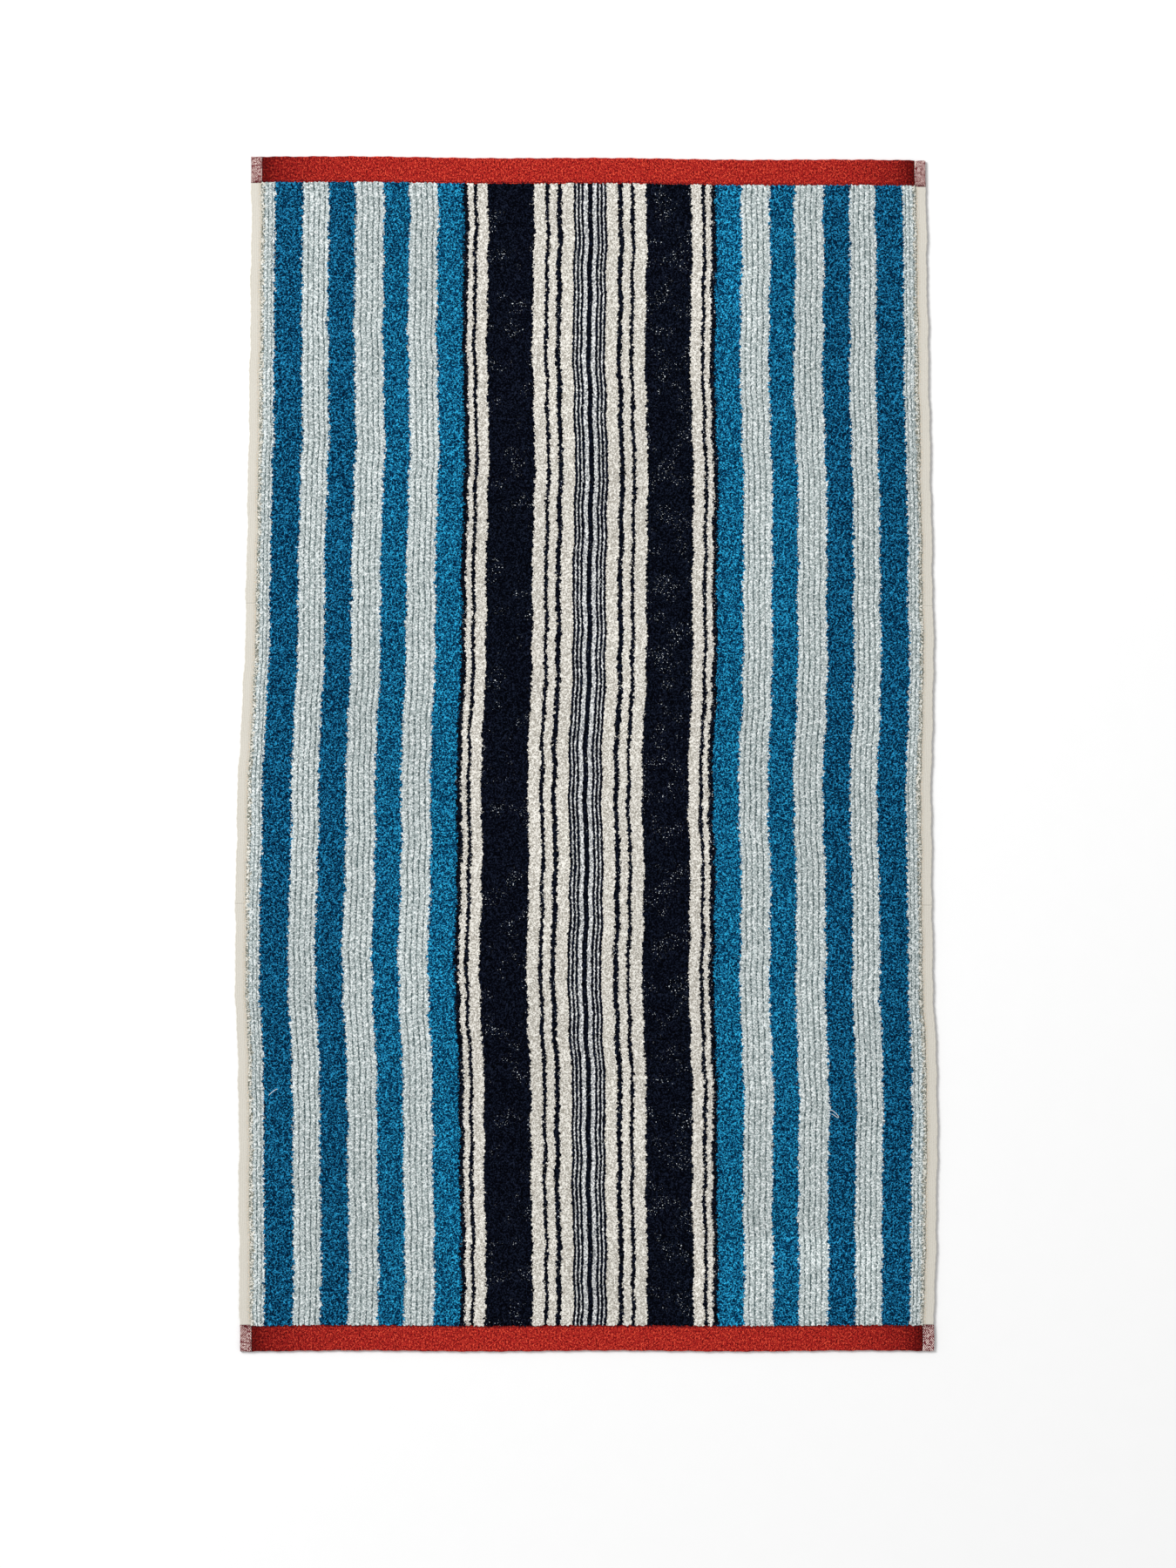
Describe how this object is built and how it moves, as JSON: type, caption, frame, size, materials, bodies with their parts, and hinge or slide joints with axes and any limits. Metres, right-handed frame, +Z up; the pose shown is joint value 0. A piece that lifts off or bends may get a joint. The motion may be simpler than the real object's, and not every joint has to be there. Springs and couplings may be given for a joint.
{
  "type": "bath towel",
  "caption": "Striped terry bath towel laid flat, with loop pile on both faces, bare selvedges and red flat-woven hems, folding in half and in half again.",
  "frame": {"origin": "middle of the underside, on the surface that the towel lies on", "axes": "+Y along the length towards the top end, +X across the width, +Z up from the laid face"},
  "size_m": [0.7, 1.2, 0.0056],
  "materials": {
    "ground_cotton": "plain-woven undyed cotton ground, matte",
    "blue_white_pile": "terry loops in blue and pale grey-white lengthwise stripes, matte and nubby",
    "navy_ecru_pile": "terry loops in navy and ecru lengthwise stripes with a fine group at the middle, matte and nubby",
    "selvedge_cotton": "cream flat-woven selvedge with no pile, fine lengthwise ribs",
    "hem_red": "red flat-woven twill band, slight sheen",
    "hem_check": "red and white herringbone where the red weft crosses the cream selvedge",
    "seam_cotton": "dark red sewing thread"
  },
  "bodies": {
    "top_quarter": {"top_quarter_ground_cloth": "ground_cotton", "top_quarter_face_pile_left": "blue_white_pile", "top_quarter_face_pile_centre": "navy_ecru_pile", "top_quarter_face_pile_right": "blue_white_pile", "top_quarter_back_pile_left": "blue_white_pile", "top_quarter_back_pile_centre": "navy_ecru_pile", "top_quarter_back_pile_right": "blue_white_pile", "top_quarter_selvedge_left": "selvedge_cotton", "top_quarter_selvedge_right": "selvedge_cotton", "top_hem_band": "hem_red", "top_hem_corner_left": "hem_check", "top_hem_corner_right": "hem_check", "top_hem_needle_thread": "seam_cotton", "top_hem_bobbin_thread": "seam_cotton"},
    "upper_quarter": {"upper_quarter_ground_cloth": "ground_cotton", "upper_quarter_face_pile_left": "blue_white_pile", "upper_quarter_face_pile_centre": "navy_ecru_pile", "upper_quarter_face_pile_right": "blue_white_pile", "upper_quarter_back_pile_left": "blue_white_pile", "upper_quarter_back_pile_centre": "navy_ecru_pile", "upper_quarter_back_pile_right": "blue_white_pile", "upper_quarter_selvedge_left": "selvedge_cotton", "upper_quarter_selvedge_right": "selvedge_cotton"},
    "lower_quarter": {"lower_quarter_ground_cloth": "ground_cotton", "lower_quarter_face_pile_left": "blue_white_pile", "lower_quarter_face_pile_centre": "navy_ecru_pile", "lower_quarter_face_pile_right": "blue_white_pile", "lower_quarter_back_pile_left": "blue_white_pile", "lower_quarter_back_pile_centre": "navy_ecru_pile", "lower_quarter_back_pile_right": "blue_white_pile", "lower_quarter_selvedge_left": "selvedge_cotton", "lower_quarter_selvedge_right": "selvedge_cotton"},
    "bottom_quarter": {"bottom_quarter_ground_cloth": "ground_cotton", "bottom_quarter_face_pile_left": "blue_white_pile", "bottom_quarter_face_pile_centre": "navy_ecru_pile", "bottom_quarter_face_pile_right": "blue_white_pile", "bottom_quarter_back_pile_left": "blue_white_pile", "bottom_quarter_back_pile_centre": "navy_ecru_pile", "bottom_quarter_back_pile_right": "blue_white_pile", "bottom_quarter_selvedge_left": "selvedge_cotton", "bottom_quarter_selvedge_right": "selvedge_cotton", "bottom_hem_band": "hem_red", "bottom_hem_corner_left": "hem_check", "bottom_hem_corner_right": "hem_check", "bottom_hem_needle_thread": "seam_cotton", "bottom_hem_bobbin_thread": "seam_cotton"}
  },
  "joints": [
    {"name": "top_fold", "type": "hinge", "parent": "upper_quarter", "child": "top_quarter", "pos_m": [0, 0.3015, 0.0059], "axis": [1, 0, 0], "range_deg": [0, 179.9]},
    {"name": "middle_fold", "type": "hinge", "parent": "upper_quarter", "child": "lower_quarter", "pos_m": [0, 0, 0.0127], "axis": [-1, 0, 0], "range_deg": [0, 179.9]},
    {"name": "bottom_fold", "type": "hinge", "parent": "lower_quarter", "child": "bottom_quarter", "pos_m": [0, -0.3015, 0.0059], "axis": [-1, 0, 0], "range_deg": [0, 179.9]}
  ]
}
